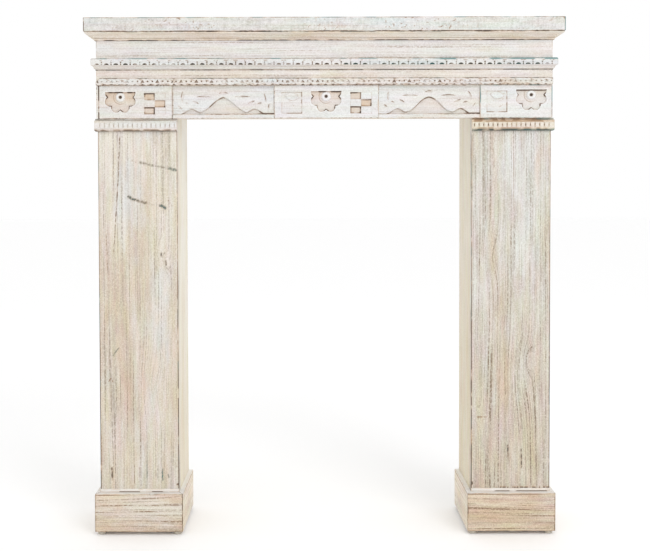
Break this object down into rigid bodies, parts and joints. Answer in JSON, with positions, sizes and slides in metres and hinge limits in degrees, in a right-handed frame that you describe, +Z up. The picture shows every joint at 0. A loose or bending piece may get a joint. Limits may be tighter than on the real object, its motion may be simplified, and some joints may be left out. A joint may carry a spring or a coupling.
{
  "type": "fireplace mantelpiece",
  "caption": "Free-standing whitewashed wooden fireplace surround: shelf on a cove crown, egg moulding, frieze of half flowers, chequers and sunk arches, box legs on plinths.",
  "frame": {"origin": "on the floor, under the centre of the shelf", "axes": "+Z up, +X to the right of someone who faces the front, -Y the carved front, +Y the open back that stands against a wall"},
  "size_m": [1.1, 0.222, 1.1975],
  "materials": {
    "whitewash_paint": "worn matt whitewash over carved wood",
    "cream_paint": "worn matt cream paint over wood",
    "yellowed_paint": "plain matt yellowed cream paint",
    "glide_plastic": "dull grey-brown"
  },
  "bodies": {
    "root": {"band_board": "cream_paint", "block_centre": "whitewash_paint", "block_left": "whitewash_paint", "block_right": "whitewash_paint", "capital_front_left": "whitewash_paint", "capital_front_right": "whitewash_paint", "capital_return_left": "whitewash_paint", "capital_return_right": "whitewash_paint", "crown_front": "cream_paint", "crown_left": "cream_paint", "crown_right": "cream_paint", "egg_moulding_front": "whitewash_paint", "egg_moulding_left": "whitewash_paint", "egg_moulding_right": "whitewash_paint", "foot_fillet_left": "cream_paint", "foot_fillet_right": "cream_paint", "frieze_board": "whitewash_paint", "glide_left_back_inner": "glide_plastic", "glide_left_back_outer": "glide_plastic", "glide_left_front_inner": "glide_plastic", "glide_left_front_outer": "glide_plastic", "glide_right_back_inner": "glide_plastic", "glide_right_back_outer": "glide_plastic", "glide_right_front_inner": "glide_plastic", "glide_right_front_outer": "glide_plastic", "leaf_strip_left": "cream_paint", "leaf_strip_right": "cream_paint", "lintel_board": "cream_paint", "panel_left": "whitewash_paint", "panel_right": "whitewash_paint", "plinth_front_left": "whitewash_paint", "plinth_front_right": "whitewash_paint", "plinth_inner_left": "cream_paint", "plinth_inner_right": "cream_paint", "plinth_outer_left": "cream_paint", "plinth_outer_right": "cream_paint", "rail_left": "whitewash_paint", "rail_right": "whitewash_paint", "shaft_front_left": "whitewash_paint", "shaft_front_right": "whitewash_paint", "shelf": "whitewash_paint", "side_inner_left": "yellowed_paint", "side_inner_right": "yellowed_paint", "side_outer_left": "yellowed_paint", "side_outer_right": "yellowed_paint"}
  },
  "joints": []
}
